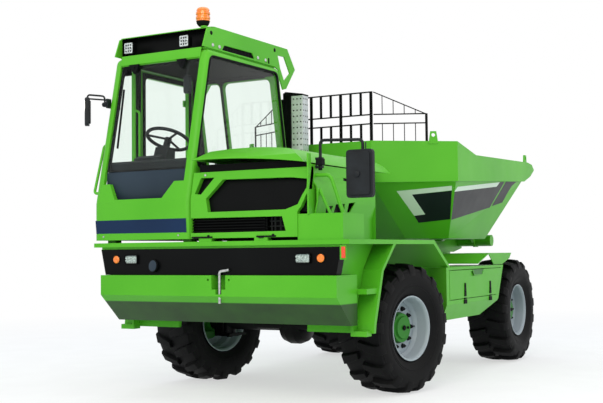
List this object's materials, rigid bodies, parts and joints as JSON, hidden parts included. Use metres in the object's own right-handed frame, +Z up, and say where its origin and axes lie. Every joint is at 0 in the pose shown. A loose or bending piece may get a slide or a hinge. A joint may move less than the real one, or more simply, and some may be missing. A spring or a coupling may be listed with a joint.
{
  "type": "site dumper with swivel skip",
  "caption": "Cab-forward wheeled site dumper whose open skip swivels on a slew ring and tips over its front pivot, with steered wheels at both ends.",
  "frame": {"origin": "on the floor, below the middle of the machine's box", "axes": "+X across the machine towards the engine side, +Y along it towards the skip's pouring lip, +Z up"},
  "size_m": [2.74, 4.82, 3.29],
  "materials": {
    "green_paint": "gloss machine enamel",
    "black_paint": "satin black",
    "charcoal_plastic": "grained moulding",
    "rim_silver": "satin silver",
    "bright_steel": "bare steel",
    "guard_steel": "perforated sheet",
    "cast_grey": "cast, painted grey",
    "tyre_rubber": "rubber",
    "tinted_glass": "clear, faint tint",
    "amber": "clear amber",
    "lamp_face": "lamp lens",
    "seat_fabric": "woven",
    "chrome": "hard chrome"
  },
  "bodies": {
    "chassis": {"chassis_frame": "green_paint", "slew_ring": "cast_grey", "ballast": "green_paint", "tow_pin": "bright_steel", "lamp_panel": "black_paint", "deck": "green_paint", "skip_end_fenders": "green_paint", "toolbox": "green_paint", "side_tank": "green_paint", "engine": "cast_grey", "cowl": "green_paint", "grille": "black_paint", "step_box": "green_paint", "front_hoops": "green_paint", "exhaust": "black_paint", "exhaust_guard": "guard_steel", "cab_shell": "green_paint", "cab_glass": "tinted_glass", "cab_roof": "green_paint", "work_lamps": "lamp_face", "beacon": "amber", "seat": "seat_fabric", "console": "charcoal_plastic", "steering_wheel": "charcoal_plastic", "mirrors": "charcoal_plastic", "left_mirror": "charcoal_plastic", "lamps": "lamp_face", "cab_rail": "green_paint", "axle_cab_end": "green_paint", "axle_skip_end": "green_paint"},
    "swivel": {"swivel_frame": "green_paint"},
    "skip_bed": {"skip": "green_paint", "skip_guard": "black_paint"},
    "tip_ram": {"ram_barrel": "black_paint"},
    "tip_ram_rod": {"ram_rod": "chrome"},
    "door": {"cab_door": "green_paint", "door_glass": "tinted_glass"},
    "engine_lid": {"bonnet": "green_paint"},
    "toolbox_lid": {"toolbox_door": "green_paint"},
    "knuckle_cab_right": {"knuckle_cab_right": "green_paint"},
    "wheel_cab_right": {"hub_cab_right": "green_paint", "rim_cab_right": "rim_silver", "tyre_cab_right": "tyre_rubber"},
    "knuckle_cab_left": {"knuckle_cab_left": "green_paint"},
    "wheel_cab_left": {"hub_cab_left": "green_paint", "rim_cab_left": "rim_silver", "tyre_cab_left": "tyre_rubber"},
    "knuckle_skip_right": {"knuckle_skip_right": "green_paint"},
    "wheel_skip_right": {"hub_skip_right": "green_paint", "rim_skip_right": "rim_silver", "tyre_skip_right": "tyre_rubber"},
    "knuckle_skip_left": {"knuckle_skip_left": "green_paint"},
    "wheel_skip_left": {"hub_skip_left": "green_paint", "rim_skip_left": "rim_silver", "tyre_skip_left": "tyre_rubber"}
  },
  "joints": [
    {"name": "steer_cab_right", "type": "hinge", "parent": "chassis", "child": "knuckle_cab_right", "pos_m": [0.72, -1.053, 0.54], "axis": [0, 0, 1], "range_deg": [-13.9, 36.1]},
    {"name": "spin_cab_right", "type": "hinge", "parent": "knuckle_cab_right", "child": "wheel_cab_right", "pos_m": [0.9663, -1.10132, 0.54], "axis": [0.9813, -0.1925, 0], "continuous": true},
    {"name": "steer_cab_left", "type": "hinge", "parent": "chassis", "child": "knuckle_cab_left", "pos_m": [-0.72, -1.053, 0.54], "axis": [0, 0, 1], "range_deg": [-13.9, 36.1]},
    {"name": "spin_cab_left", "type": "hinge", "parent": "knuckle_cab_left", "child": "wheel_cab_left", "pos_m": [-0.9663, -1.00468, 0.54], "axis": [0.9813, -0.1925, 0], "continuous": true},
    {"name": "steer_skip_right", "type": "hinge", "parent": "chassis", "child": "knuckle_skip_right", "pos_m": [0.72, 1.707, 0.54], "axis": [0, 0, 1], "range_deg": [-25, 25]},
    {"name": "spin_skip_right", "type": "hinge", "parent": "knuckle_skip_right", "child": "wheel_skip_right", "pos_m": [0.971, 1.707, 0.54], "axis": [1, 0, 0], "continuous": true},
    {"name": "steer_skip_left", "type": "hinge", "parent": "chassis", "child": "knuckle_skip_left", "pos_m": [-0.72, 1.707, 0.54], "axis": [0, 0, 1], "range_deg": [-25, 25]},
    {"name": "spin_skip_left", "type": "hinge", "parent": "knuckle_skip_left", "child": "wheel_skip_left", "pos_m": [-0.971, 1.707, 0.54], "axis": [1, 0, 0], "continuous": true},
    {"name": "skip_swivel", "type": "hinge", "parent": "chassis", "child": "swivel", "pos_m": [0, 1.427, 1.13], "axis": [0, 0, 1], "range_deg": [-90, 90]},
    {"name": "skip_tip", "type": "hinge", "parent": "swivel", "child": "skip_bed", "pos_m": [0, 1.927, 1.285], "axis": [-1, 0, 0], "range_deg": [0, 60]},
    {"name": "ram_tilt", "type": "hinge", "parent": "swivel", "child": "tip_ram", "pos_m": [0, 1.027, 1.215], "axis": [1, 0, 0], "range_deg": [0, 2]},
    {"name": "ram_stroke", "type": "slide", "parent": "tip_ram", "child": "tip_ram_rod", "axis": [0, 0.952, 0.306], "range_m": [0, 0.26]},
    {"name": "cab_door_hinge", "type": "hinge", "parent": "chassis", "child": "door", "pos_m": [-1.204, -1.01, 2], "axis": [0, 0, -1], "range_deg": [0, 85]},
    {"name": "bonnet_hinge", "type": "hinge", "parent": "chassis", "child": "engine_lid", "pos_m": [0, -0.823, 1.99], "axis": [-1, 0, 0], "range_deg": [0, 60]},
    {"name": "toolbox_hinge", "type": "hinge", "parent": "chassis", "child": "toolbox_lid", "pos_m": [1.204, 0.2, 0.738], "axis": [0, 1, 0], "range_deg": [0, 100]}
  ],
  "couplings": [
    {"joint": "steer_cab_left", "follows": "steer_cab_right", "ratio": 1},
    {"joint": "steer_skip_left", "follows": "steer_skip_right", "ratio": 1},
    {"joint": "ram_tilt", "follows": "skip_tip", "ratio": 0.03},
    {"joint": "ram_stroke", "follows": "skip_tip", "m_per_rad": 0.2411}
  ]
}
